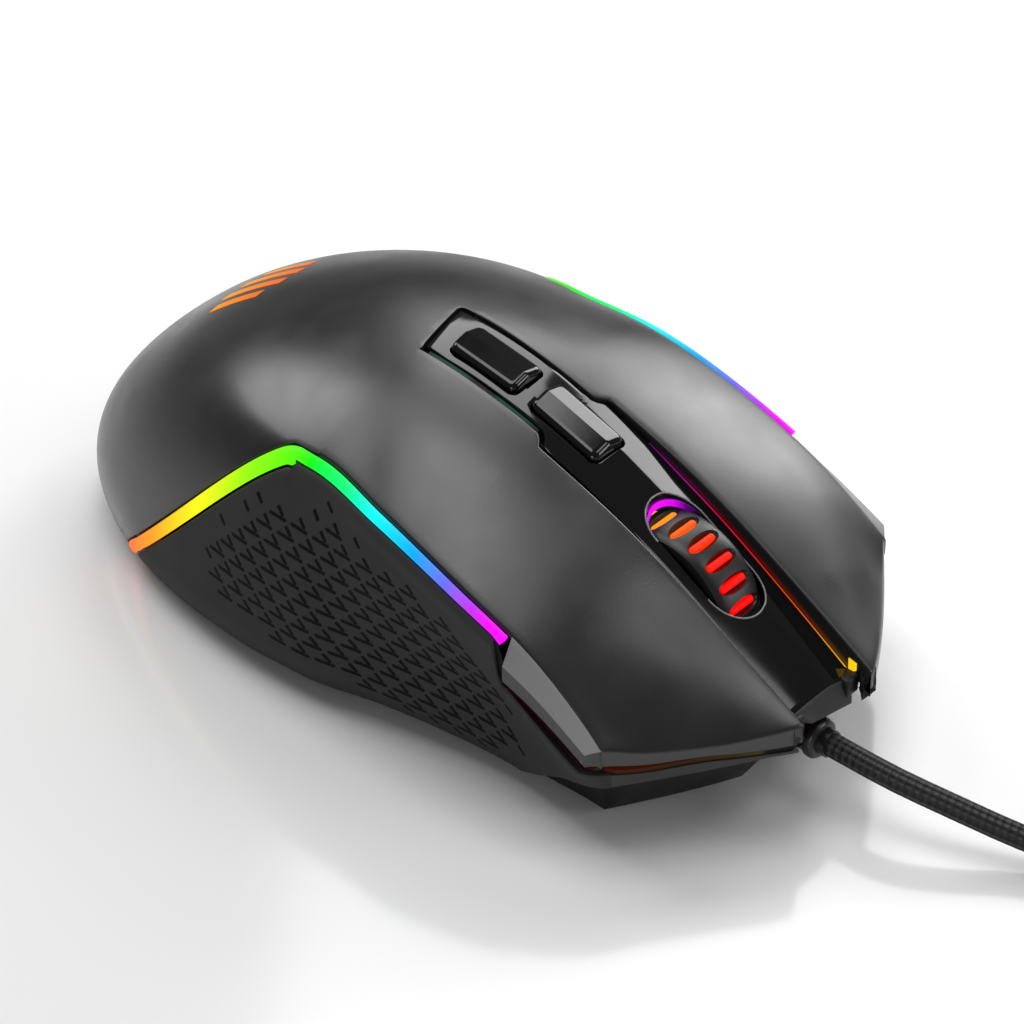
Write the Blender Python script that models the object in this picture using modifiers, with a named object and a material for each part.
# A wired computer mouse with lit side strips, as separate pieces. Metres, +Z up.
# +Y points to the nose and the cable, +X to the user's right. The origin is on the desk, mid body.
import math

import bmesh
import bpy
from mathutils import Matrix, Vector

for old in list(bpy.data.objects):
    bpy.data.objects.remove(old, do_unlink=True)

MM = 0.001
GAP = 0.3 * MM  # clearance between fixed neighbours
SHUT_LINE = 0.5 * MM  # open line round the two main buttons
HINGE_GAP = 0.4 * MM  # line of the living hinge behind each main button
SIDES = {"right": 1, "left": -1}

# Body form. The hump line is the highest cross-section, where the two buttons hinge.
NOSE_REACH = 67.6 * MM
REAR_REACH = 56.4 * MM
HUMP_Y = (REAR_REACH - NOSE_REACH) / 2
NOSE_Y = HUMP_Y + NOSE_REACH
# Sizes at equal steps from the hump line to the nose
CROWN_HEIGHTS = (43.0 * MM, 41.3 * MM, 37.4 * MM, 32.15 * MM, 25.0 * MM, 17.1 * MM)
SHOULDER_HALF_WIDTHS = (25.3 * MM, 27.4 * MM, 28.5 * MM, 28.8 * MM, 29.4 * MM, 30.2 * MM)
SHOULDER_DROPS = (6.9 * MM, 6.7 * MM, 6.5 * MM, 6.3 * MM, 7.2 * MM, 8.2 * MM)
BELLY_HALF_WIDTHS = (33.2 * MM, 30.3 * MM, 27.9 * MM, 27.3 * MM, 27.6 * MM, 27.6 * MM)
SKIRT_HALF_WIDTHS = (30.8 * MM, 27.9 * MM, 26.0 * MM, 25.3 * MM, 24.0 * MM, 24.0 * MM)
BELLY_HEIGHT = 9.0 * MM
SKIRT_HEIGHT = 2.0 * MM
REAR_SHOULDER = 31.5 * MM
REAR_DROP = 6.8 * MM
REAR_SKIRT = REAR_REACH - 2.4 * MM
CROWN_POWER = 2.2
BELLY_POWER = 2.45
SKIRT_POWER = 2.6
SIDE_ROLL = 5.0 * MM  # how far the flank runs on along the crown's slope before it turns down
REAR_ROLL = 12.0 * MM
SIDE_RISE = 0.47  # share of the flank's height over which it stands upright
REAR_RISE = 0.33
WRAP_RADIUS = 30.0 * MM  # length along the wall for each radian round the rear

# Walls
SHELL_WALL = 2.0 * MM
PANEL_WALL = 1.4 * MM
STRIP_WALL = 1.2 * MM
TRIM_WALL = 0.6 * MM
INSERT_WALL = 1.5 * MM
BASE_WALL = 1.5 * MM

# Lines on the body: q is 0 at the crown, 1 at the shoulder, 2 at the belly, SKIRT_Q at the skirt
SKIRT_Q = 2.25
LEG_START = math.radians(9.5)  # rear end of the strip's front run, as an angle round the rear
LEG_SWEEP = math.radians(36.8)  # turn of the strip's rear run for each step of q
STRIP_WIDTH = 1.9 * MM
TRIM_WIDTH_REAR = 2.9 * MM
TRIM_WIDTH_FRONT = 2.0 * MM
TRIM_STEP_BACK = 4.0 * MM  # where the panel starts to make room for the wider trim
TRIM_STEP_LENGTH = 3.0 * MM
CORNER_SWEEP = 15.0 * MM  # how far the buttons' outer corners lie behind the nose
CORNER_BOW = 1.25
DISH_DEPTH = 2.2 * MM  # hollow at the buttons' fronts, between the channel and the shoulder
DISH_LENGTH = 15.0 * MM
CORNER_Y = NOSE_Y - CORNER_SWEEP
STRIP_FRONT_Y = CORNER_Y - 14.2 * MM  # the strip ends where the trim cap starts

# Centre channel
CHANNEL_REAR_HALF = 5.4 * MM
CHANNEL_FRONT_HALF = 7.0 * MM
CHANNEL_JOG_Y = HUMP_Y + 21.2 * MM
CHANNEL_JOG_LENGTH = 1.2 * MM
INSERT_GAP = 0.45 * MM
INSERT_SINK_REAR = 0.6 * MM
INSERT_SINK_FRONT = 2.4 * MM
INSERT_SINK_START_Y = HUMP_Y + 29.6 * MM
INSERT_LIP_BACK = 2.7 * MM  # from the nose back to where the insert turns down
INSERT_LIP_TIP_BACK = 0.6 * MM
INSERT_LIP_DROP = 3.2 * MM

# Scroll wheel
WHEEL_Y = HUMP_Y + 40.9 * MM
WHEEL_SINK = 12.45 * MM  # axle below the crown
WHEEL_RADIUS = 11.7 * MM
WHEEL_HALF_WIDTH = 3.9 * MM
HUB_RADIUS = 9.6 * MM
AXLE_RADIUS = 1.5 * MM
SLOT_HALF_WIDTH = 4.5 * MM
SLOT_REAR_Y = HUMP_Y + 36.3 * MM
SLOT_FRONT_Y = HUMP_Y + 53.9 * MM
CRADLE_INNER = 5.2 * MM
CRADLE_THICK = 1.2 * MM
CRADLE_PIVOT_Y = HUMP_Y + 24.6 * MM
CRADLE_PIVOT_RISE = 3.2 * MM  # pivot above the main board
CRADLE_PIN_RADIUS = 1.2 * MM
CRADLE_BAR_Y = HUMP_Y + 54.6 * MM

# Small buttons
DPI_LENGTH = 11.3 * MM
DPI_WIDTH = 6.2 * MM
DPI_DEPTH = 4.2 * MM
DPI_PROUD = 1.8 * MM
DPI_YS = {"rear": HUMP_Y + 8.7 * MM, "front": HUMP_Y + 22.9 * MM}
THUMB_LENGTH = 15.6 * MM
THUMB_SPLIT_Y = HUMP_Y + 17.6 * MM
THUMB_SPLIT = 0.8 * MM
THUMB_TOP_Q = 1.24
THUMB_FOOT_Q = 1.54
THUMB_THICK = 2.6 * MM
THUMB_TRAVEL = 0.6 * MM

# Underside and inner parts
FOOT_THICK = 0.6 * MM
BASE_BOTTOM = FOOT_THICK + GAP
RIM_HEIGHT = 9.0 * MM
CHIN_TOP = 12.5 * MM
CHIN_CORNER_X = 24.0 * MM
CHIN_CORNER_BACK = 20.3 * MM
CHIN_FRONT_BACK = 8.7 * MM
CHIN_POWER = 1.25
CHIN_SET_BACK = 3.2 * MM
CHIN_TOP_HALF = 28.0 * MM
BUMPER_WALL = 1.6 * MM
BUMPER_INNER_X = 7.4 * MM
LIP_GAP = 1.0 * MM
BOARD_STANDOFF = 2.3 * MM
BOARD_THICK = 1.6 * MM
BOARD_BOTTOM = BASE_BOTTOM + BASE_WALL + BOARD_STANDOFF + GAP
BOARD_TOP = BOARD_BOTTOM + BOARD_THICK
SEAT = BOARD_TOP + GAP  # where parts on the main board stand
SWITCH_X = 17.6 * MM
SWITCH_Y = HUMP_Y + 39.6 * MM
SWITCH_SIZE = (5.8 * MM, 12.8 * MM, 6.5 * MM)
TACT_SIZE = (4.4 * MM, 4.4 * MM, 2.0 * MM)
WHEEL_SWITCH_SIZE = (6.0 * MM, 5.0 * MM, 3.6 * MM)
PLUNGER_RADIUS = 0.9 * MM
PLUNGER_PROUD = 0.9 * MM
PLUNGER_DEEP = 0.5 * MM
BORE_DEEP = 1.6 * MM
DPI_BOARD_DROP = 12.5 * MM  # under the crown at the hump
DPI_BOARD_THICK = 1.2 * MM
FRAME_INNER = 3.6 * MM
FRAME_THICK = 1.2 * MM
FRAME_REAR_Y = HUMP_Y + 2.0 * MM
FRAME_FRONT_Y = HUMP_Y + 28.0 * MM
SIDE_BOARD_X = 20.6 * MM
SIDE_BOARD_THICK = 1.2 * MM
SIDE_BOARD_HEIGHT = 22.6 * MM
SENSOR_Y = HUMP_Y - 6.4 * MM
BOSS_X = 13.0 * MM
BOSS_Y = HUMP_Y - 21.4 * MM
BOSS_RADIUS = 3.0 * MM
SCREW_RADIUS = 1.0 * MM
SCREW_HEAD_RADIUS = 2.0 * MM
SCREW_HEAD_THICK = 0.6 * MM
SCREW_LENGTH = 8.0 * MM

# Cable
CABLE_RADIUS = 1.65 * MM
CABLE_HEIGHT = 8.5 * MM
COLLAR_RADIUS = 3.3 * MM
COLLAR_NECK_RADIUS = 2.5 * MM
COLLAR_LENGTH = 1.9 * MM
COLLAR_END_Y = NOSE_Y - 0.8 * MM
COIL_CENTRE = (-40.5 * MM, 111.0 * MM)
COIL_LIFT = 1.2 * MM  # the tie's strap passes under the coil
COIL_PITCH = 3.75 * MM
COIL_INNER = 11.5 * MM
COIL_SWEEP_TURNS = 4.5
COIL_TAIL_TURNS = 0.964  # the plug then points back along the mouse
COIL_TAIL_LIFT = 5.4 * MM
COIL_START_ANGLE = math.radians(13)
POINTS_PER_TURN = 24
TIE_THICK = 0.8 * MM
TIE_WIDTH = 6.0 * MM
TIE_ANGLE = math.radians(262)
PLUG_BODY_SIZE = (11.6 * MM, 24.0 * MM, 7.0 * MM)
PLUG_SHELL_SIZE = (12.0 * MM, 18.5 * MM, 4.5 * MM)
PLUG_SHELL_WALL = 0.5 * MM

parts = bpy.data.collections.new("computer_mouse")
tools = bpy.data.collections.new("cutters")
bpy.context.scene.collection.children.link(parts)
bpy.context.scene.collection.children.link(tools)


def finish(name, colour, roughness, metallic=0.0):
    made = bpy.data.materials.new(name)
    made.use_nodes = True
    shader = made.node_tree.nodes["Principled BSDF"]
    shader.inputs["Base Color"].default_value = (*colour, 1.0)
    shader.inputs["Roughness"].default_value = roughness
    shader.inputs["Metallic"].default_value = metallic
    return made


def place(obj, material=None, smooth=False):
    """A piece with a material is part of the mouse. One without is a tool that cuts or joins."""
    if material:
        parts.objects.link(obj)
        obj.data.materials.append(material)
        if smooth:
            obj.data.shade_smooth()
    else:
        tools.objects.link(obj)
        obj.hide_render = True
        obj.display_type = "WIRE"
    return obj


def from_bmesh(name, bm, material=None, location=(0, 0, 0), smooth=False):
    mesh = bpy.data.meshes.new(name)
    bm.to_mesh(mesh)
    bm.free()
    obj = bpy.data.objects.new(name, mesh)
    obj.location = location
    return place(obj, material, smooth)


def box(name, size, location, material=None, bevel=0.0, shear=0.0):
    """A block. Shear tilts its top and bottom along Y and keeps its sides upright."""
    bm = bmesh.new()
    bmesh.ops.create_cube(bm, size=1.0, matrix=Matrix.Diagonal((*size, 1.0)))
    for vert in bm.verts:
        vert.co.z += shear * vert.co.y
    obj = from_bmesh(name, bm, material, location)
    if bevel:
        rounded = obj.modifiers.new("rounded", "BEVEL")
        rounded.width = bevel
        rounded.segments = 2
    return obj


def rod(name, radius, length, location, axis, material=None, segments=20):
    turn = Vector((0, 0, 1)).rotation_difference(Vector(axis)).to_matrix().to_4x4()
    bm = bmesh.new()
    bmesh.ops.create_cone(
        bm, cap_ends=True, segments=segments, radius1=radius, radius2=radius, depth=length, matrix=turn
    )
    return from_bmesh(name, bm, material, location, smooth=bool(material))


def turned(name, profile, location, axis, material, closed=False, steps=36):
    """A profile of (radius, height) points, spun about the axis. It runs down its outer side."""
    bm = bmesh.new()
    verts = [bm.verts.new((radius, 0, height)) for radius, height in profile]
    for first, second in zip(verts, verts[1:] + verts[:1] if closed else verts[1:]):
        bm.edges.new((first, second))
    obj = from_bmesh(name, bm, material, location, smooth=True)
    obj.rotation_mode = "QUATERNION"
    obj.rotation_quaternion = Vector((0, 0, 1)).rotation_difference(Vector(axis))
    spin = obj.modifiers.new("spin", "SCREW")
    spin.steps = spin.render_steps = steps
    spin.use_merge_vertices = True
    spin.merge_threshold = 0.00001
    return obj


def outline(name, points, thickness, location=(0, 0, 0), rotation=(0, 0, 0), material=None):
    """A flat outline in its own XY plane, made a plate of this thickness about that plane."""
    curve = bpy.data.curves.new(name, "CURVE")
    curve.dimensions = "2D"
    curve.fill_mode = "BOTH"
    curve.extrude = thickness / 2
    spline = curve.splines.new("POLY")
    spline.points.add(len(points) - 1)
    for point, (x, y) in zip(spline.points, points):
        point.co = (x, y, 0, 1)
    spline.use_cyclic_u = True
    drawn = bpy.data.objects.new(name + "_drawn", curve)
    bpy.context.scene.collection.objects.link(drawn)
    graph = bpy.context.evaluated_depsgraph_get()
    mesh = bpy.data.meshes.new_from_object(drawn.evaluated_get(graph))
    bpy.data.objects.remove(drawn, do_unlink=True)
    bm = bmesh.new()
    bm.from_mesh(mesh)
    bmesh.ops.remove_doubles(bm, verts=bm.verts, dist=0.00001)
    obj = from_bmesh(name, bm, material, location)
    obj.rotation_euler = rotation
    return obj


def patch(name, columns, rows, point, wall, material=None, offset=-1.0):
    """An open surface of the body, point(u, v), with a wall added under it."""
    bm = bmesh.new()
    bmesh.ops.create_grid(bm, x_segments=columns, y_segments=rows, size=0.5)
    for vert in bm.verts:
        vert.co = point(vert.co.x + 0.5, vert.co.y + 0.5)
    bm.normal_update()
    heart = Vector((0, HUMP_Y, BELLY_HEIGHT))
    outward = sum(f.normal.dot((f.calc_center_median() - heart).normalized()) for f in bm.faces)
    if outward < 0:
        bmesh.ops.reverse_faces(bm, faces=bm.faces)
    obj = from_bmesh(name, bm, material, smooth=True)
    thick = obj.modifiers.new("wall", "SOLIDIFY")
    thick.thickness = wall
    thick.offset = offset
    return obj


def cut(obj, cutter):
    made = obj.modifiers.new("cut " + cutter.name, "BOOLEAN")
    made.operation = "DIFFERENCE"
    made.object = cutter


def join(obj, other):
    made = obj.modifiers.new("join " + other.name, "BOOLEAN")
    made.operation = "UNION"
    made.object = other


def mix(a, b, share):
    return a + (b - a) * share


def along(sizes, y):
    """A smooth curve through sizes given at equal steps from the hump line to the nose."""
    last = len(sizes) - 1
    step = min(max((y - HUMP_Y) / NOSE_REACH, 0.0), 1.0) * last
    i = min(int(step), last - 1)
    f = step - i
    a, b = sizes[i], sizes[i + 1]
    slope_a = 0.0 if i == 0 else (b - sizes[i - 1]) / 2
    slope_b = b - a if i == last - 1 else (sizes[i + 2] - a) / 2
    rest = (2 * f**3 - 3 * f**2 + 1) * a + (-2 * f**3 + 3 * f**2) * b
    return rest + (f**3 - 2 * f**2 + f) * slope_a + (f**3 - f**2) * slope_b


def round_radius(half_x, half_y, power, angle):
    side = (abs(math.cos(angle)) / half_x) ** power
    rear = (abs(math.sin(angle)) / half_y) ** power
    return (side + rear) ** (-1 / power)


def section(q, crown, shoulder, drop, belly, skirt, roll, rise):
    """(reach, height) on one cross-section: crown to shoulder, flank to belly, then the skirt."""
    if q <= 1:
        return q * shoulder, crown - drop * q**CROWN_POWER
    if q <= 2:
        t = q - 1
        top = crown - drop
        slope = math.atan(CROWN_POWER * drop / shoulder)
        weights = ((1 - t) ** 3, 3 * t * (1 - t) ** 2, 3 * t * t * (1 - t), t**3)
        reaches = (shoulder, shoulder + roll * math.cos(slope), belly, belly)
        upright = BELLY_HEIGHT + rise * (top - BELLY_HEIGHT)
        heights = (top, top - roll * math.sin(slope), upright, BELLY_HEIGHT)
        reach = sum(w * r for w, r in zip(weights, reaches))
        return reach, sum(w * h for w, h in zip(weights, heights))
    t = (q - 2) / (SKIRT_Q - 2)
    return belly - (belly - skirt) * t * t, mix(BELLY_HEIGHT, SKIRT_HEIGHT, t)


def front_point(y, q, side=1):
    reach, height = section(
        q,
        along(CROWN_HEIGHTS, y),
        along(SHOULDER_HALF_WIDTHS, y),
        along(SHOULDER_DROPS, y),
        along(BELLY_HALF_WIDTHS, y),
        along(SKIRT_HALF_WIDTHS, y),
        SIDE_ROLL,
        SIDE_RISE,
    )
    return Vector((side * reach, y, height))


def rear_point(angle, q, side=1):
    """The rear dome: angle 0 is the hump line's right end, a quarter turn the heel."""
    share = math.sin(angle) ** 2
    reach, height = section(
        q,
        CROWN_HEIGHTS[0],
        round_radius(SHOULDER_HALF_WIDTHS[0], REAR_SHOULDER, 2.0, angle),
        mix(SHOULDER_DROPS[0], REAR_DROP, share),
        round_radius(BELLY_HALF_WIDTHS[0], REAR_REACH, BELLY_POWER, angle),
        round_radius(SKIRT_HALF_WIDTHS[0], REAR_SKIRT, SKIRT_POWER, angle),
        mix(SIDE_ROLL, REAR_ROLL, share),
        mix(SIDE_RISE, REAR_RISE, share),
    )
    return Vector((side * reach * math.cos(angle), HUMP_Y - reach * math.sin(angle), height))


def wall_point(w, q, side=1):
    """A point by its length w along the wall from the hump line, forwards or round the rear."""
    if w >= 0:
        return front_point(HUMP_Y + w, q, side)
    return rear_point(-w / WRAP_RADIUS, q, side)


def dish(x, y):
    """How far a button's front dips between the channel and the shoulder."""
    shoulder = along(SHOULDER_HALF_WIDTHS, y)
    share = min(max((abs(x) - CHANNEL_FRONT_HALF) / (shoulder - CHANNEL_FRONT_HALF), 0.0), 1.0)
    near = min(max(1 - (front_edge_y(share) - y) / DISH_LENGTH, 0.0), 1.0)
    return DISH_DEPTH * math.sin(math.pi * share**1.35) * near**2


def crown_height(x, y):
    return front_point(y, abs(x) / along(SHOULDER_HALF_WIDTHS, y)).z - dish(x, y)


def crown_slope(y):
    step = 1.0 * MM
    return (crown_height(0, y + step) - crown_height(0, y - step)) / (2 * step)


def flank_q(width):
    """The q that lies this far below the shoulder, close to it."""
    return 1 + width / (3 * SIDE_ROLL)


def leg_angle(q):
    return LEG_START + LEG_SWEEP * (q - 1)


def front_edge_y(share):
    """The buttons' front edge, from the nose (0) to the outer corner (1)."""
    return NOSE_Y - CORNER_SWEEP * share**CORNER_BOW


def channel_half(y):
    jog = min(max((y - CHANNEL_JOG_Y) / CHANNEL_JOG_LENGTH, 0.0), 1.0)
    return mix(CHANNEL_REAR_HALF, CHANNEL_FRONT_HALF, jog)


soft_black = finish("soft_black", (0.035, 0.035, 0.037), 0.55)
gloss_black = finish("gloss_black", (0.006, 0.006, 0.007), 0.08)
dark_plastic = finish("dark_plastic", (0.018, 0.018, 0.019), 0.5)
grey_trim = finish("grey_trim", (0.11, 0.11, 0.115), 0.4)
grip_rubber = finish("grip_rubber", (0.02, 0.02, 0.021), 0.75)
tyre_rubber = finish("tyre_rubber", (0.015, 0.015, 0.015), 0.45)
light_guide = finish("light_guide", (0.85, 0.87, 0.9), 0.2)
lit_core = finish("lit_core", (0.9, 0.2, 0.05), 0.25)
board_green = finish("board_green", (0.012, 0.05, 0.02), 0.5)
chip_black = finish("chip_black", (0.012, 0.012, 0.013), 0.35)
frame_plastic = finish("frame_plastic", (0.05, 0.05, 0.052), 0.5)
plunger_plastic = finish("plunger_plastic", (0.55, 0.03, 0.03), 0.4)
glide = finish("glide", (0.03, 0.03, 0.03), 0.3)
steel = finish("steel", (0.6, 0.6, 0.62), 0.25, 1.0)
braid = finish("braid", (0.012, 0.012, 0.013), 0.8)
clear_lens = finish("clear_lens", (0.8, 0.82, 0.84), 0.05)
strap_cloth = finish("strap_cloth", (0.02, 0.02, 0.022), 0.9)


# Top shell: the palm and the two buttons
def palm_point(u, v):
    """Right to left with u, hump line to skirt with v."""
    corner = 0.12
    if v < corner:
        angle, q = LEG_START * v / corner, 1.0
    else:
        q = mix(1.0, SKIRT_Q, (v - corner) / (1 - corner))
        angle = leg_angle(q)
    q -= SHUT_LINE / SHOULDER_HALF_WIDTHS[0] * max(1 - v / corner, 0.0)
    angle += SHUT_LINE / BELLY_HALF_WIDTHS[0] * min(v / corner, 1.0)
    across = q * math.cos(angle) * (1 - 2 * u)
    back = q * math.sin(angle)
    back = mix(back, math.sqrt(max(q * q - across * across, 0.0)), v)
    return rear_point(math.atan2(back, across), math.hypot(across, back))


palm_shell = patch("palm_shell", 18, 16, palm_point, SHELL_WALL, soft_black)
for side_name, side in SIDES.items():
    spot = Vector((side * BOSS_X, BOSS_Y))
    reach = (spot - Vector((0, HUMP_Y))).length
    angle = math.atan2(HUMP_Y - BOSS_Y, BOSS_X)
    shoulder = round_radius(SHOULDER_HALF_WIDTHS[0], REAR_SHOULDER, 2.0, angle)
    top = rear_point(angle, reach / shoulder).z - SHELL_WALL * 0.7
    foot = BASE_BOTTOM + BASE_WALL + GAP
    boss = rod(side_name + "_boss", BOSS_RADIUS, top - foot, (*spot, (top + foot) / 2), (0, 0, 1))
    bore_depth = SCREW_LENGTH + GAP
    bore = rod(
        side_name + "_boss_bore", SCREW_RADIUS + GAP, 2 * bore_depth, (*spot, foot), (0, 0, 1), segments=12
    )
    join(palm_shell, boss)
    cut(palm_shell, bore)

# Window in the palm over a lamp
WINDOW_BACK = 34.5 * MM  # from the hump line back over the crown
WINDOW_HALF_WIDTH = 7.0 * MM
WINDOW_HALF_LENGTH = 4.2 * MM


def window_point(grow):
    def point(u, v):
        x = (u - 0.5) * 2 * (WINDOW_HALF_WIDTH + grow)
        half = (WINDOW_HALF_LENGTH + grow) * (1 - 0.35 * abs(2 * u - 1))
        back = WINDOW_BACK + (v - 0.5) * 2 * half
        angle = math.atan2(back, x)
        shoulder = round_radius(SHOULDER_HALF_WIDTHS[0], REAR_SHOULDER, 2.0, angle)
        low, high = 0.0, SKIRT_Q
        for _ in range(40):
            q = (low + high) / 2
            flat = rear_point(angle, q)
            if math.hypot(flat.x, flat.y - HUMP_Y) < math.hypot(x, back):
                low = q
            else:
                high = q
        return rear_point(angle, q)

    return point


palm_window = patch("palm_light_window", 8, 4, window_point(0.0), SHELL_WALL, lit_core)
window_cutter = patch("window_cutter", 8, 4, window_point(GAP), SHELL_WALL * 3, offset=0.0)
cut(palm_shell, window_cutter)


def button_point(side):
    def point(u, v):
        y = mix(HUMP_Y + HINGE_GAP, front_edge_y(u), v)
        inner = channel_half(y)
        outer = along(SHOULDER_HALF_WIDTHS, y) - SHUT_LINE / 2
        x = mix(inner, outer, u)
        return Vector((side * x, y, crown_height(x, y)))

    return point


plunger_top = SEAT + SWITCH_SIZE[2] + PLUNGER_PROUD
for side_name, side in SIDES.items():
    button = patch(side_name + "_button", 8, 24, button_point(side), SHELL_WALL, soft_black)
    post_top = crown_height(SWITCH_X, SWITCH_Y) - SHELL_WALL * 0.72
    post_foot = plunger_top + GAP
    post = box(
        side_name + "_button_post",
        (3.0 * MM, 2.4 * MM, post_top - post_foot),
        (side * SWITCH_X, SWITCH_Y, (post_top + post_foot) / 2),
    )
    join(button, post)


# Light strips, trim and grips along the sides
strip_q = flank_q(STRIP_WIDTH)


def strip_line(s, inner):
    """(w, q) along a strip's edge: up the rear run, round the apex, then forwards."""
    bend = 0.45
    corner_q = 1.0 if inner else strip_q
    corner_angle = LEG_START if inner else LEG_START - (STRIP_WIDTH + GAP) / WRAP_RADIUS
    if s < bend:
        q = mix(SKIRT_Q - 0.04, corner_q, s / bend)
        return -(corner_angle + LEG_SWEEP * (q - corner_q)) * WRAP_RADIUS, q
    start = -corner_angle * WRAP_RADIUS
    return mix(start, STRIP_FRONT_Y - HUMP_Y, (s - bend) / (1 - bend)), corner_q


def strip_point(side):
    def point(u, v):
        w_inner, q_inner = strip_line(u, True)
        w_outer, q_outer = strip_line(u, False)
        q_inner += GAP / (3 * SIDE_ROLL)
        return wall_point(mix(w_inner, w_outer, v), mix(q_inner, q_outer, v), side)

    return point


def trim_width(y):
    share = (y - STRIP_FRONT_Y) / (CORNER_Y - STRIP_FRONT_Y)
    return mix(TRIM_WIDTH_REAR, TRIM_WIDTH_FRONT, min(max(share, 0.0), 1.0))


def trim_point(side):
    def point(u, v):
        y = mix(STRIP_FRONT_Y + GAP, CORNER_Y, u)
        q = mix(flank_q(GAP), flank_q(trim_width(y)), v)
        return front_point(y - v * trim_width(y) * 0.4 * u, q, side)

    return point


PANEL_FRONT_TOP_BACK = 2.6 * MM  # from the buttons' corner back to the panel's front end
PANEL_FRONT_FOOT_BACK = 4.0 * MM
PANEL_RISE_Y = CORNER_Y - 14.0 * MM  # from here forwards the panel's lower edge rises
PANEL_FRONT_FOOT_Q = 1.93


def panel_edges(s):
    """(w, q) of the panel's upper and lower edge, from the strip's rear run to the front."""
    front_w = CORNER_Y - HUMP_Y
    rear_top = -(LEG_START - (STRIP_WIDTH + 2 * GAP) / WRAP_RADIUS) * WRAP_RADIUS
    w_top = mix(rear_top, front_w - PANEL_FRONT_TOP_BACK, s)
    y_top = HUMP_Y + w_top
    step = min(max((y_top - STRIP_FRONT_Y + TRIM_STEP_BACK) / TRIM_STEP_LENGTH, 0.0), 1.0)
    width = mix(STRIP_WIDTH + 2.5 * GAP, trim_width(y_top) + 7 * GAP, step)
    rear_foot = rear_top - LEG_SWEEP * (SKIRT_Q - strip_q) * WRAP_RADIUS
    w_foot = mix(rear_foot, front_w - PANEL_FRONT_FOOT_BACK, s)
    rise = (HUMP_Y + w_foot - PANEL_RISE_Y) / (CORNER_Y - PANEL_FRONT_FOOT_BACK - PANEL_RISE_Y)
    q_foot = mix(SKIRT_Q, PANEL_FRONT_FOOT_Q, min(max(rise, 0.0), 1.0))
    return (w_top, flank_q(width)), (w_foot, q_foot)


def panel_point(side):
    def point(u, v):
        (w_top, q_top), (w_foot, q_foot) = panel_edges(u)
        q = mix(q_top, q_foot, v**1.4)
        lean = (q - q_top) / (q_foot - q_top)
        return wall_point(mix(w_top, w_foot, lean), q, side)

    return point


grips = {}
for side_name, side in SIDES.items():
    patch(side_name + "_light_strip", 36, 3, strip_point(side), STRIP_WALL, light_guide)
    patch(side_name + "_trim_cap", 6, 3, trim_point(side), TRIM_WALL, grey_trim)
    grips[side_name] = patch(side_name + "_grip_panel", 22, 9, panel_point(side), PANEL_WALL, grip_rubber)

# Two thumb buttons on the left side, in an opening of the left grip
thumb_spans = {
    "back": (THUMB_SPLIT_Y - THUMB_SPLIT / 2 - THUMB_LENGTH, THUMB_SPLIT_Y - THUMB_SPLIT / 2),
    "forward": (THUMB_SPLIT_Y + THUMB_SPLIT / 2, THUMB_SPLIT_Y + THUMB_SPLIT / 2 + THUMB_LENGTH),
}


def thumb_point(rear_y, front_y, grow=0.0):
    def point(u, v):
        y = mix(rear_y - grow, front_y + grow, u)
        q_grow = grow / (3 * SIDE_ROLL)
        return front_point(y, mix(THUMB_TOP_Q - q_grow, THUMB_FOOT_Q + q_grow, v), -1)

    return point


opening = patch(
    "thumb_opening",
    12,
    4,
    thumb_point(thumb_spans["back"][0], thumb_spans["forward"][1], 1.5 * GAP),
    PANEL_WALL * 4,
    offset=0.0,
)
cut(grips["left"], opening)
side_seat = -(SIDE_BOARD_X + SIDE_BOARD_THICK + GAP)
thumb_switches = {}
for thumb_name, (rear_y, front_y) in thumb_spans.items():
    thumb = patch(
        thumb_name + "_thumb_button", 8, 4, thumb_point(rear_y, front_y), THUMB_THICK, dark_plastic, offset=-0.2
    )
    middle = front_point((rear_y + front_y) / 2, (THUMB_TOP_Q + THUMB_FOOT_Q) / 2, -1)
    tip_x = side_seat - TACT_SIZE[2] - PLUNGER_PROUD - GAP
    root_x = middle.x + THUMB_THICK * 0.3
    stem = rod(
        thumb_name + "_thumb_stem",
        1.1 * MM,
        tip_x - root_x,
        ((tip_x + root_x) / 2, middle.y, middle.z),
        (1, 0, 0),
        segments=12,
    )
    join(thumb, stem)
    thumb_switches[thumb_name] = Vector((side_seat, middle.y, middle.z))


# Nose: bumpers and the light guides over them
def nose_share(x):
    return (x - CHANNEL_FRONT_HALF) / (along(SHOULDER_HALF_WIDTHS, CORNER_Y) - CHANNEL_FRONT_HALF)


def nose_band(side, set_back, outer_x, foot, lift):
    def point(u, v):
        x = mix(outer_x, BUMPER_INNER_X, u)
        share = nose_share(x)
        edge_y = front_edge_y(max(share, 0.0))
        lip_foot = crown_height(min(x, along(SHOULDER_HALF_WIDTHS, CORNER_Y)), edge_y) - SHELL_WALL
        return Vector((side * x, edge_y - set_back, mix(lip_foot - LIP_GAP + lift, foot, v)))

    return point


bumper_foot = CHIN_TOP + GAP
for side_name, side in SIDES.items():
    bumper_outer = along(SHOULDER_HALF_WIDTHS, CORNER_Y)
    band = nose_band(side, 0.6 * MM, bumper_outer, bumper_foot, 0.0)
    patch(side_name + "_bumper", 10, 1, band, BUMPER_WALL, dark_plastic)
    glow_back = 0.6 * MM + 1.75 * BUMPER_WALL + 2 * GAP  # the bumper runs aslant at its outer end
    glow = nose_band(side, glow_back, bumper_outer - BUMPER_WALL - 2 * GAP, bumper_foot + 2 * GAP, LIP_GAP * 0.2)
    patch(side_name + "_front_light", 10, 1, glow, 0.8 * MM, light_guide)


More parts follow.
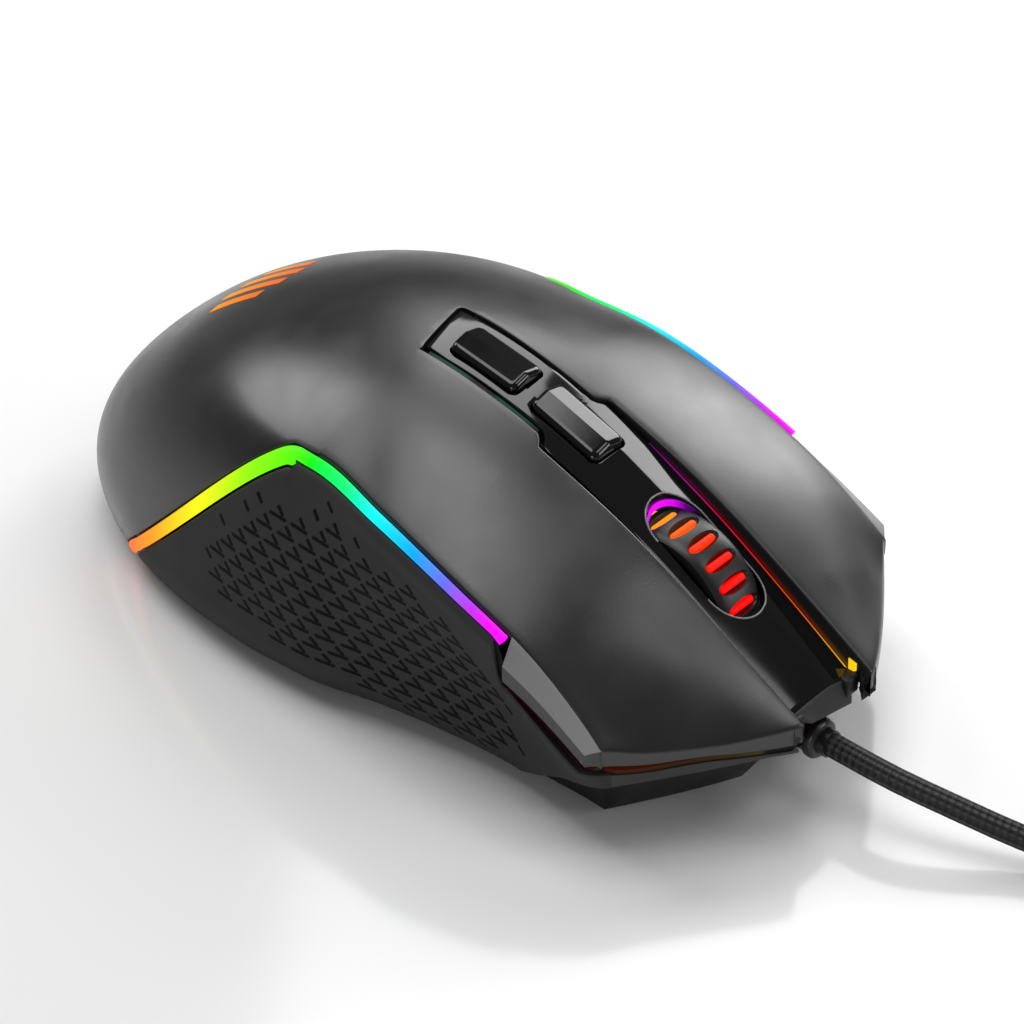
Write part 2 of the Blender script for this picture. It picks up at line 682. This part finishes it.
# Centre insert with its openings
def insert_height(x, y):
    start, end = INSERT_SINK_START_Y, NOSE_Y - INSERT_LIP_BACK
    share = min(max((y - start) / (end - start), 0.0), 1.0)
    return crown_height(x, y) - mix(INSERT_SINK_REAR, INSERT_SINK_FRONT, share)


INSERT_ROWS = 32
INSERT_LIP_ROWS = 2


def insert_point(u, v):
    flat = 1 - INSERT_LIP_ROWS / INSERT_ROWS
    lip_y = NOSE_Y - INSERT_LIP_BACK
    y = mix(HUMP_Y + HINGE_GAP, lip_y, min(v / flat, 1.0))
    half = channel_half(y) - INSERT_GAP
    x = (2 * u - 1) * half
    z = insert_height(x, y)
    turn = max(v - flat, 0.0) / (1 - flat)
    return Vector((x, mix(y, NOSE_Y - INSERT_LIP_TIP_BACK, turn), z - INSERT_LIP_DROP * turn))


centre_insert = patch("centre_insert", 6, INSERT_ROWS, insert_point, INSERT_WALL, gloss_black)
slot_points = []
for turn in range(13):
    angle = math.pi * turn / 12
    slot_points.append((SLOT_HALF_WIDTH * math.cos(angle), SLOT_FRONT_Y - SLOT_HALF_WIDTH * (1 - math.sin(angle))))
for turn in range(13):
    angle = math.pi * (1 + turn / 12)
    slot_points.append((SLOT_HALF_WIDTH * math.cos(angle), SLOT_REAR_Y + SLOT_HALF_WIDTH * (1 + math.sin(angle))))
slot_tool = outline("wheel_slot", slot_points, 60 * MM, (0, 0, insert_height(0, WHEEL_Y)))
cut(centre_insert, slot_tool)

dpi_board_top = CROWN_HEIGHTS[0] - DPI_BOARD_DROP
dpi_seat = dpi_board_top + GAP
for dpi_name, y in DPI_YS.items():
    top = insert_height(0, y) + DPI_PROUD
    slope = crown_slope(y)
    dpi = box(
        f"dpi_{dpi_name}_button",
        (DPI_WIDTH, DPI_LENGTH, DPI_DEPTH),
        (0, y, top - DPI_DEPTH / 2),
        gloss_black,
        bevel=0.5 * MM,
        shear=slope,
    )
    stem_foot = dpi_seat + TACT_SIZE[2] + PLUNGER_PROUD + GAP
    stem_top = top - DPI_DEPTH / 2
    stem = rod(
        f"dpi_{dpi_name}_stem", 1.1 * MM, stem_top - stem_foot, (0, y, (stem_top + stem_foot) / 2), (0, 0, 1), segments=12
    )
    join(dpi, stem)
    opening = box(f"dpi_{dpi_name}_opening", (DPI_WIDTH + 2 * GAP, DPI_LENGTH + 2 * GAP, 12 * MM), (0, y, top))
    cut(centre_insert, opening)

# Base: a tub with a sloping chin under the nose
inset = SHELL_WALL + 2 * GAP


def base_loops():
    """Matching points of the tub's lower and upper edge, right round the body."""
    low, high = [], []
    rear_steps, side_steps, front_steps = 24, 8, 14
    heel_inset = inset + GAP
    for i in range(rear_steps + 1):
        angle = math.pi * (1 - i / rear_steps)
        for loop, q, z in ((low, SKIRT_Q, BASE_BOTTOM), (high, 2.0, RIM_HEIGHT)):
            spot = rear_point(angle, q)
            flat = Vector((spot.x, spot.y - HUMP_Y))
            flat *= (flat.length - heel_inset) / flat.length
            loop.append(Vector((flat.x, flat.y + HUMP_Y, z)))
    corner_y = NOSE_Y - CHIN_CORNER_BACK

    def side_points(side, shares):
        for share in shares:
            y = mix(HUMP_Y, corner_y, share)
            low.append(Vector((side * (along(SKIRT_HALF_WIDTHS, y) - inset), y, BASE_BOTTOM)))
            rim = mix(RIM_HEIGHT, CHIN_TOP, max(share * 3 - 2, 0.0))
            high_y = mix(y, CORNER_Y - CHIN_SET_BACK, max(share * 2 - 1, 0.0))
            high.append(Vector((side * (along(BELLY_HALF_WIDTHS, y) - inset), high_y, rim)))

    shares = [i / side_steps for i in range(1, side_steps + 1)]
    side_points(1, shares)
    for i in range(1, front_steps):
        across = 1 - 2 * i / front_steps
        x = across * CHIN_CORNER_X
        back = mix(CHIN_FRONT_BACK, CHIN_CORNER_BACK, abs(across) ** CHIN_POWER)
        low.append(Vector((x, NOSE_Y - back, BASE_BOTTOM)))
        x_high = across * (along(BELLY_HALF_WIDTHS, corner_y) - inset)
        edge_y = front_edge_y(max(nose_share(abs(x_high)), 0.0))
        high.append(Vector((x_high, edge_y - CHIN_SET_BACK, CHIN_TOP)))
    side_points(-1, list(reversed(shares)))
    return low, high


low_loop, high_loop = base_loops()
bm = bmesh.new()
made = bmesh.ops.create_circle(bm, cap_ends=True, segments=len(low_loop), radius=1.0)
floor_verts = sorted(made["verts"], key=lambda v: math.atan2(v.co.y, v.co.x))
rim_edges = [edge for edge in bm.edges if edge.is_boundary]
raised = bmesh.ops.extrude_edge_only(bm, edges=rim_edges)
rim_verts = [g for g in raised["geom"] if isinstance(g, bmesh.types.BMVert)]
rim_verts.sort(key=lambda v: math.atan2(v.co.y, v.co.x))
for vert, rim, low_spot, high_spot in zip(floor_verts, rim_verts, low_loop, high_loop):
    vert.co = low_spot
    rim.co = high_spot
bmesh.ops.recalc_face_normals(bm, faces=bm.faces)
if sum(f.normal.z * f.calc_area() for f in bm.faces) > 0:
    bmesh.ops.reverse_faces(bm, faces=bm.faces)
base_plate = from_bmesh("base_plate", bm, dark_plastic)
tub_wall = base_plate.modifiers.new("wall", "SOLIDIFY")
tub_wall.thickness = BASE_WALL
tub_wall.offset = -1.0

floor_top = BASE_BOTTOM + BASE_WALL
standoff_spots = ((17.0 * MM, HUMP_Y - 16.4 * MM), (20.0 * MM, HUMP_Y + 17.6 * MM))
for x, y in standoff_spots:
    for side in SIDES.values():
        height = BOARD_STANDOFF + BASE_WALL / 2
        spot = (side * x, y, floor_top + BOARD_STANDOFF - height / 2)
        join(base_plate, rod("standoff", 2.2 * MM, height, spot, (0, 0, 1), segments=12))
sensor_opening = box("sensor_opening", (7.0 * MM, 10.0 * MM, 10 * MM), (0, SENSOR_Y, BASE_BOTTOM))
cut(base_plate, sensor_opening)
collar_hole_y = NOSE_Y - CHIN_FRONT_BACK
collar_hole = rod(
    "collar_hole", COLLAR_NECK_RADIUS + GAP, 16 * MM, (0, collar_hole_y, CABLE_HEIGHT), (0, 1, 0)
)
cut(base_plate, collar_hole)

# Screws from below: two into the palm's bosses, two that hold the main board
screw_spots = []
for side_name, side in SIDES.items():
    screw_spots.append((side_name + "_rear_screw", side * BOSS_X, BOSS_Y, SCREW_LENGTH))
for name, x, y, length in screw_spots:
    head_z = BASE_BOTTOM + GAP
    shaft = SCREW_HEAD_THICK + length
    turned(
        name,
        (
            (0.0, shaft),
            (SCREW_RADIUS, shaft),
            (SCREW_RADIUS, SCREW_HEAD_THICK),
            (SCREW_HEAD_RADIUS, SCREW_HEAD_THICK),
            (SCREW_HEAD_RADIUS, 0.0),
            (0.0, 0.0),
        ),
        (x, y, head_z),
        (0, 0, 1),
        steel,
        steps=16,
    )
    well_top = head_z + SCREW_HEAD_THICK + GAP
    well = rod(
        name + "_well", SCREW_HEAD_RADIUS + GAP, 2 * (well_top - BASE_BOTTOM), (x, y, BASE_BOTTOM), (0, 0, 1)
    )
    hole = rod(name + "_hole", SCREW_RADIUS + GAP, 12 * MM, (x, y, BASE_BOTTOM), (0, 0, 1), segments=12)
    cut(base_plate, well)
    cut(base_plate, hole)

# Glide feet
FRONT_FOOT_HALF = 16.0 * MM
FRONT_FOOT_LENGTH = 7.0 * MM
FRONT_FOOT_BACK = 24.5 * MM
REAR_FOOT_HALF = 17.0 * MM
REAR_FOOT_LENGTH = 9.0 * MM
REAR_FOOT_AHEAD = 14.0 * MM
for name, half, length, y in (
    ("front_foot", FRONT_FOOT_HALF, FRONT_FOOT_LENGTH, NOSE_Y - FRONT_FOOT_BACK),
    ("rear_foot", REAR_FOOT_HALF, REAR_FOOT_LENGTH, HUMP_Y - REAR_REACH + REAR_FOOT_AHEAD),
):
    rim = []
    for end in (1, -1):
        for turn in range(9):
            angle = math.pi * (turn / 8 - 0.5)
            x = end * (half - length / 2 + length / 2 * math.cos(angle))
            rim.append((x, end * length / 2 * math.sin(angle)))
    outline(name, rim, FOOT_THICK, (0, y, FOOT_THICK / 2), material=glide)

# Main board and what stands on it
board_points = (
    (15.0 * MM, HUMP_Y - 25.4 * MM),
    (20.0 * MM, HUMP_Y - 18.4 * MM),
    (22.4 * MM, HUMP_Y - 2.4 * MM),
    (22.4 * MM, HUMP_Y + 15.6 * MM),
    (21.2 * MM, HUMP_Y + 27.6 * MM),
    (21.0 * MM, HUMP_Y + 44.6 * MM),
    (10.0 * MM, HUMP_Y + 55.6 * MM),
)
board_rim = list(board_points) + [(-x, y) for x, y in reversed(board_points)]
main_board = outline(
    "main_board", board_rim, BOARD_THICK, (0, 0, BOARD_BOTTOM + BOARD_THICK / 2), material=board_green
)
for side_name, side in SIDES.items():
    spot = (side * BOSS_X, BOSS_Y, BOARD_BOTTOM)
    cut(main_board, rod(side_name + "_boss_pass", BOSS_RADIUS + GAP, 8 * MM, spot, (0, 0, 1)))
cut(main_board, box("sensor_pass", (5.0 * MM, 7.0 * MM, 8 * MM), (0, SENSOR_Y, BOARD_BOTTOM)))


def on_board(name, size, x, y, material, bevel=0.0):
    return box(name, size, (x, y, SEAT + size[2] / 2), material, bevel)


on_board("sensor_chip", (9.0 * MM, 11.0 * MM, 2.6 * MM), 0, SENSOR_Y, chip_black)
on_board("controller_chip", (7.0 * MM, 7.0 * MM, 1.2 * MM), 12.0 * MM, HUMP_Y - 6.4 * MM, chip_black)
on_board("cable_connector", (8.0 * MM, 5.0 * MM, 4.4 * MM), -12.5 * MM, HUMP_Y + 26.6 * MM, frame_plastic)
LED_SIZE = (3.0 * MM, 2.4 * MM, 1.4 * MM)
on_board("right_lamp", LED_SIZE, 19.0 * MM, HUMP_Y + 9.6 * MM, clear_lens)
on_board("left_lamp", LED_SIZE, -15.5 * MM, HUMP_Y + 1.6 * MM, clear_lens)
on_board("palm_lamp", LED_SIZE, 0, HUMP_Y - 21.4 * MM, clear_lens)
lens_thick = BOARD_STANDOFF - GAP
box(
    "sensor_lens",
    (11.0 * MM, 14.0 * MM, lens_thick),
    (0, SENSOR_Y, floor_top + GAP + lens_thick / 2),
    clear_lens,
)


def switch(name, seat, axis, size):
    """A switch body with a bore, and the plunger that stands in it."""
    axis = Vector(axis)
    turn = Vector((0, 0, 1)).rotation_difference(axis)
    body = box(name, size, seat + axis * size[2] / 2, chip_black)
    body.rotation_mode = "QUATERNION"
    body.rotation_quaternion = turn
    mouth = seat + axis * size[2]
    bore = rod(name + "_bore", PLUNGER_RADIUS + GAP, 2 * BORE_DEEP, mouth, axis, segments=12)
    cut(body, bore)
    length = PLUNGER_PROUD + PLUNGER_DEEP
    spot = mouth + axis * (PLUNGER_PROUD - length / 2)
    rod(name + "_plunger", PLUNGER_RADIUS, length, spot, axis, plunger_plastic, segments=12)


up = (0, 0, 1)
for side_name, side in SIDES.items():
    switch(side_name + "_switch", Vector((side * SWITCH_X, SWITCH_Y, SEAT)), up, SWITCH_SIZE)
switch("wheel_switch", Vector((0, CRADLE_BAR_Y, SEAT)), up, WHEEL_SWITCH_SIZE)
for dpi_name, y in DPI_YS.items():
    switch(f"dpi_{dpi_name}_switch", Vector((0, y, dpi_seat)), up, TACT_SIZE)
for thumb_name, seat in thumb_switches.items():
    switch(thumb_name + "_thumb_switch", seat, (-1, 0, 0), TACT_SIZE)

side_board_span = (thumb_switches["back"].y - 5 * MM, thumb_switches["forward"].y + 3 * MM)
box(
    "side_board",
    (SIDE_BOARD_THICK, side_board_span[1] - side_board_span[0], SIDE_BOARD_HEIGHT),
    (-(SIDE_BOARD_X + SIDE_BOARD_THICK / 2), sum(side_board_span) / 2, SEAT + SIDE_BOARD_HEIGHT / 2),
    board_green,
)

# Centre frame: two cheeks and a shelf. It carries the insert, the DPI board and the cradle's pin.
pivot = Vector((0, CRADLE_PIVOT_Y, BOARD_TOP + CRADLE_PIVOT_RISE))
cheek_steps = 6
cheek = [(FRAME_FRONT_Y, SEAT), (FRAME_REAR_Y, SEAT)]
frame_outer = FRAME_INNER + FRAME_THICK
for i in range(cheek_steps + 1):
    y = mix(FRAME_REAR_Y, FRAME_FRONT_Y, i / cheek_steps)
    slope_room = 0.25 * MM
    cheek.append((y, insert_height(frame_outer, y) - INSERT_WALL - GAP - slope_room))
upright = Matrix.Rotation(math.pi / 2, 3, "Z") @ Matrix.Rotation(math.pi / 2, 3, "X")
frame_x = FRAME_INNER + FRAME_THICK / 2
centre_frame = outline("centre_frame", cheek, FRAME_THICK, (frame_x, 0, 0), upright.to_euler(), frame_plastic)
left_cheek = outline("left_cheek", cheek, FRAME_THICK, (-frame_x, 0, 0), upright.to_euler())
shelf_thick = 1.4 * MM
shelf_top = dpi_board_top - DPI_BOARD_THICK - GAP
shelf = box(
    "frame_shelf",
    (2 * frame_x, FRAME_FRONT_Y - FRAME_REAR_Y - 2 * MM, shelf_thick),
    (0, (FRAME_FRONT_Y + FRAME_REAR_Y) / 2, shelf_top - shelf_thick / 2),
)
join(centre_frame, shelf)
join(centre_frame, left_cheek)
cut(centre_frame, rod("pin_bearing", CRADLE_PIN_RADIUS + GAP, 20 * MM, pivot, (1, 0, 0)))
box(
    "dpi_board",
    (2 * (FRAME_INNER - GAP), FRAME_FRONT_Y - FRAME_REAR_Y - 3 * MM, DPI_BOARD_THICK),
    (0, (FRAME_FRONT_Y + FRAME_REAR_Y) / 2, dpi_board_top - DPI_BOARD_THICK / 2),
    board_green,
)

# Scroll wheel, its cradle and the encoder
axle = Vector((0, WHEEL_Y, crown_height(0, WHEEL_Y) - WHEEL_SINK))
axle_reach = CRADLE_INNER + CRADLE_THICK + 1.0 * MM
encoder_reach = axle_reach + 0.9 * MM
wheel_empty = bpy.data.objects.new("wheel_axis", None)
wheel_empty.location = axle
parts.objects.link(wheel_empty)
hub_half = WHEEL_HALF_WIDTH - GAP
wheel_hub = turned(
    "wheel_hub",
    (
        (0.0, encoder_reach),
        (AXLE_RADIUS, encoder_reach),
        (AXLE_RADIUS, hub_half),
        (HUB_RADIUS, hub_half),
        (HUB_RADIUS, -hub_half),
        (AXLE_RADIUS, -hub_half),
        (AXLE_RADIUS, -axle_reach),
        (0.0, -axle_reach),
    ),
    (0, 0, 0),
    (1, 0, 0),
    lit_core,
)
tyre_inner = HUB_RADIUS + GAP
tyre_crown = 0.9 * MM
wheel_tyre = turned(
    "wheel_tyre",
    (
        (tyre_inner, WHEEL_HALF_WIDTH),
        (WHEEL_RADIUS - tyre_crown, WHEEL_HALF_WIDTH),
        (WHEEL_RADIUS, WHEEL_HALF_WIDTH - 2 * tyre_crown),
        (WHEEL_RADIUS, 2 * tyre_crown - WHEEL_HALF_WIDTH),
        (WHEEL_RADIUS - tyre_crown, -WHEEL_HALF_WIDTH),
        (tyre_inner, -WHEEL_HALF_WIDTH),
    ),
    (0, 0, 0),
    (1, 0, 0),
    tyre_rubber,
    closed=True,
)
for piece in (wheel_hub, wheel_tyre):
    piece.parent = wheel_empty

bar_half = 1.5 * MM
bar_foot = SEAT + WHEEL_SWITCH_SIZE[2] + PLUNGER_PROUD + GAP
bar_z = bar_foot + bar_half
boss_half = 2.9 * MM
arm = (
    (pivot.y - 2.2 * MM, pivot.z - 1.9 * MM),
    (pivot.y + 2.2 * MM, pivot.z - 1.9 * MM),
    (axle.y - boss_half, axle.z - boss_half),
    (axle.y + boss_half, axle.z - boss_half),
    (CRADLE_BAR_Y - bar_half, bar_foot),
    (CRADLE_BAR_Y + bar_half, bar_foot),
    (CRADLE_BAR_Y + bar_half, bar_z + bar_half),
    (axle.y + boss_half, axle.z + boss_half),
    (axle.y - boss_half, axle.z + boss_half),
    (pivot.y - 2.2 * MM, pivot.z + 1.9 * MM),
)
arm_x = CRADLE_INNER + CRADLE_THICK / 2
cradle = outline("wheel_cradle", arm, CRADLE_THICK, (arm_x, 0, 0), upright.to_euler(), frame_plastic)
other_arm = outline("left_arm", arm, CRADLE_THICK, (-arm_x, 0, 0), upright.to_euler())
bar = box("cradle_bar", (2 * arm_x, 2 * bar_half - 0.4 * MM, 2 * bar_half - 0.4 * MM), (0, CRADLE_BAR_Y, bar_z))
pin = rod("cradle_pin", CRADLE_PIN_RADIUS, 2 * arm_x, pivot, (1, 0, 0), segments=16)
for tool in (bar, pin, other_arm):
    join(cradle, tool)
cut(cradle, rod("axle_bearing", AXLE_RADIUS + GAP, 30 * MM, axle, (1, 0, 0)))

ENCODER_SIZE = (5.0 * MM, 11.0 * MM, 17.0 * MM)
on_board("encoder", ENCODER_SIZE, encoder_reach + GAP + ENCODER_SIZE[0] / 2, WHEEL_Y, chip_black)

# Cable: collar, free stretch, coil with its tie, and plug
collar_start = COLLAR_END_Y - COLLAR_LENGTH
neck_length = 6.0 * MM
turned(
    "strain_relief",
    (
        (0.0, 0.0),
        (COLLAR_RADIUS - 0.5 * MM, 0.0),
        (COLLAR_RADIUS, -0.5 * MM),
        (COLLAR_RADIUS, -COLLAR_LENGTH),
        (COLLAR_NECK_RADIUS, -COLLAR_LENGTH),
        (COLLAR_NECK_RADIUS, -COLLAR_LENGTH - neck_length),
        (0.0, -COLLAR_LENGTH - neck_length),
    ),
    (0, COLLAR_END_Y, CABLE_HEIGHT),
    (0, 1, 0),
    tyre_rubber,
    steps=24,
)


def coil_points():
    """Piled loops: in, out, in, then part way out, climbing a layer where the spiral turns back."""
    reach = COIL_SWEEP_TURNS * COIL_PITCH
    layers = 3
    turns = layers * COIL_SWEEP_TURNS + COIL_TAIL_TURNS
    points = []
    steps = round(turns * POINTS_PER_TURN)
    for i in range(steps + 1):
        turn = turns * i / steps
        sweep, into = divmod(turn, COIL_SWEEP_TURNS)
        into *= COIL_PITCH
        radius = COIL_INNER + (into if int(sweep) % 2 else reach - into)
        climb = 0.0
        for layer in range(1, layers + 1):
            share = min(max((turn - layer * COIL_SWEEP_TURNS) / 0.5 + 0.5, 0.0), 1.0)
            climb += COIL_PITCH * share * share * (3 - 2 * share)
        share = min(max((turn - turns) / 0.5 + 1, 0.0), 1.0)
        climb += COIL_TAIL_LIFT * share * share * (3 - 2 * share)
        angle = COIL_START_ANGLE + 2 * math.pi * turn
        points.append(
            Vector(
                (
                    COIL_CENTRE[0] + radius * math.cos(angle),
                    COIL_CENTRE[1] + radius * math.sin(angle),
                    CABLE_RADIUS + COIL_LIFT + climb,
                )
            )
        )
    head = (points[0] - points[1]).normalized()
    head.z = 0
    tail = (points[-1] - points[-2]).normalized()
    tail.z = 0
    straight = 2 * CABLE_RADIUS
    return [points[0] + head.normalized() * straight] + points + [points[-1] + tail.normalized() * straight]


def least_gap(points, radius):
    """The least clear distance from the tube to itself, over points half a turn or more apart."""
    apart = POINTS_PER_TURN // 2
    least = min((a - b).length for i, a in enumerate(points) for b in points[i + apart :])
    return least - 2 * radius


def tube(name, points, radius, resolution, material):
    curve = bpy.data.curves.new(name, "CURVE")
    curve.dimensions = "3D"
    curve.bevel_depth = radius
    curve.bevel_resolution = resolution
    curve.use_fill_caps = True
    spline = curve.splines.new("POLY")
    spline.points.add(len(points) - 1)
    for point, spot in zip(spline.points, points):
        point.co = (*spot, 1)
    return place(bpy.data.objects.new(name, curve), material)


def smooth_route(route, step):
    """Points at about this step on a smooth curve through the route's own points."""
    points = [route[0]]
    for i in range(len(route) - 1):
        p1, p2 = route[i], route[i + 1]
        p0 = route[i - 1] if i else p1 * 2 - p2
        p3 = route[i + 2] if i + 2 < len(route) else p2 * 2 - p1
        count = max(round((p2 - p1).length / step), 1)
        for k in range(1, count + 1):
            t = k / count
            near = p1 * 2 + (p2 - p0) * t
            points.append((near + (p0 * 2 - p1 * 5 + p2 * 4 - p3) * t**2 + (p1 * 3 - p0 - p2 * 3 + p3) * t**3) / 2)
    return points


coil = coil_points()
print("cable coil: least gap to itself", round(least_gap(coil, CABLE_RADIUS) / MM, 2), "mm")
coil_length = sum((b - a).length for a, b in zip(coil, coil[1:]))
tube("cable_coil", coil, CABLE_RADIUS, 1, braid)

coil_way = (coil[1] - coil[0]).normalized()
join_spot = coil[0] - coil_way * GAP
CABLE_ROUTE = (
    (0.0, COLLAR_END_Y + GAP, CABLE_HEIGHT),
    (0.0, 66.0 * MM, CABLE_HEIGHT),
    (-0.5 * MM, 72.0 * MM, 8.1 * MM),
    (-2.6 * MM, 79.0 * MM, 6.6 * MM),
    (-6.0 * MM, 88.0 * MM, 4.2 * MM),
    (-9.2 * MM, 98.0 * MM, 3.0 * MM),
)
route = [Vector(spot) for spot in CABLE_ROUTE] + [join_spot - coil_way * 5 * MM, join_spot]
free = smooth_route(route, 7.0 * MM)
tube("cable", free, CABLE_RADIUS, 2, braid)
free_length = sum((b - a).length for a, b in zip(free, free[1:]))
print("cable length", round((coil_length + free_length) * 1000), "mm")

# Strap tie round the coil's section
coil_outer = COIL_INNER + COIL_SWEEP_TURNS * COIL_PITCH + CABLE_RADIUS
coil_hole = COIL_INNER - CABLE_RADIUS
tie_spot = Vector((math.cos(TIE_ANGLE), math.sin(TIE_ANGLE), 0))
tie_mid = (coil_outer + coil_hole) / 2
tie_wide = coil_outer - coil_hole + 4 * GAP
tie_foot = COIL_LIFT - GAP
tie_top = COIL_LIFT + 2 * CABLE_RADIUS + 3 * COIL_PITCH + 2 * GAP
tie_centre = Vector((*COIL_CENTRE, (tie_foot + tie_top) / 2)) + tie_spot * tie_mid
tie = box(
    "cable_tie",
    (tie_wide + 2 * TIE_THICK, TIE_WIDTH, tie_top - tie_foot + 2 * TIE_THICK),
    tie_centre,
    strap_cloth,
)
tie_hollow = box("tie_hollow", (tie_wide, 2 * TIE_WIDTH, tie_top - tie_foot), tie_centre)
for piece in (tie, tie_hollow):
    piece.rotation_euler.z = TIE_ANGLE
cut(tie, tie_hollow)

# Plug on top of the coil
plug_way = (coil[-1] - coil[-2]).normalized()
plug_turn = math.atan2(plug_way.y, plug_way.x) - math.pi / 2
body_spot = coil[-1] + plug_way * (GAP + PLUG_BODY_SIZE[1] / 2)
plug_body = box("plug_body", PLUG_BODY_SIZE, body_spot, dark_plastic, bevel=1.0 * MM)
shell_spot = body_spot + plug_way * (PLUG_BODY_SIZE[1] / 2 + GAP + PLUG_SHELL_SIZE[1] / 2)
plug_shell = box("plug_shell", PLUG_SHELL_SIZE, shell_spot, steel)
hollow_size = tuple(
    size - 2 * PLUG_SHELL_WALL if axis != 1 else size for axis, size in enumerate(PLUG_SHELL_SIZE)
)
plug_hollow = box("plug_hollow", hollow_size, shell_spot + plug_way * PLUG_SHELL_SIZE[1] * 0.4)
cut(plug_shell, plug_hollow)
for piece in (plug_body, plug_shell, plug_hollow):
    piece.rotation_euler.z = plug_turn
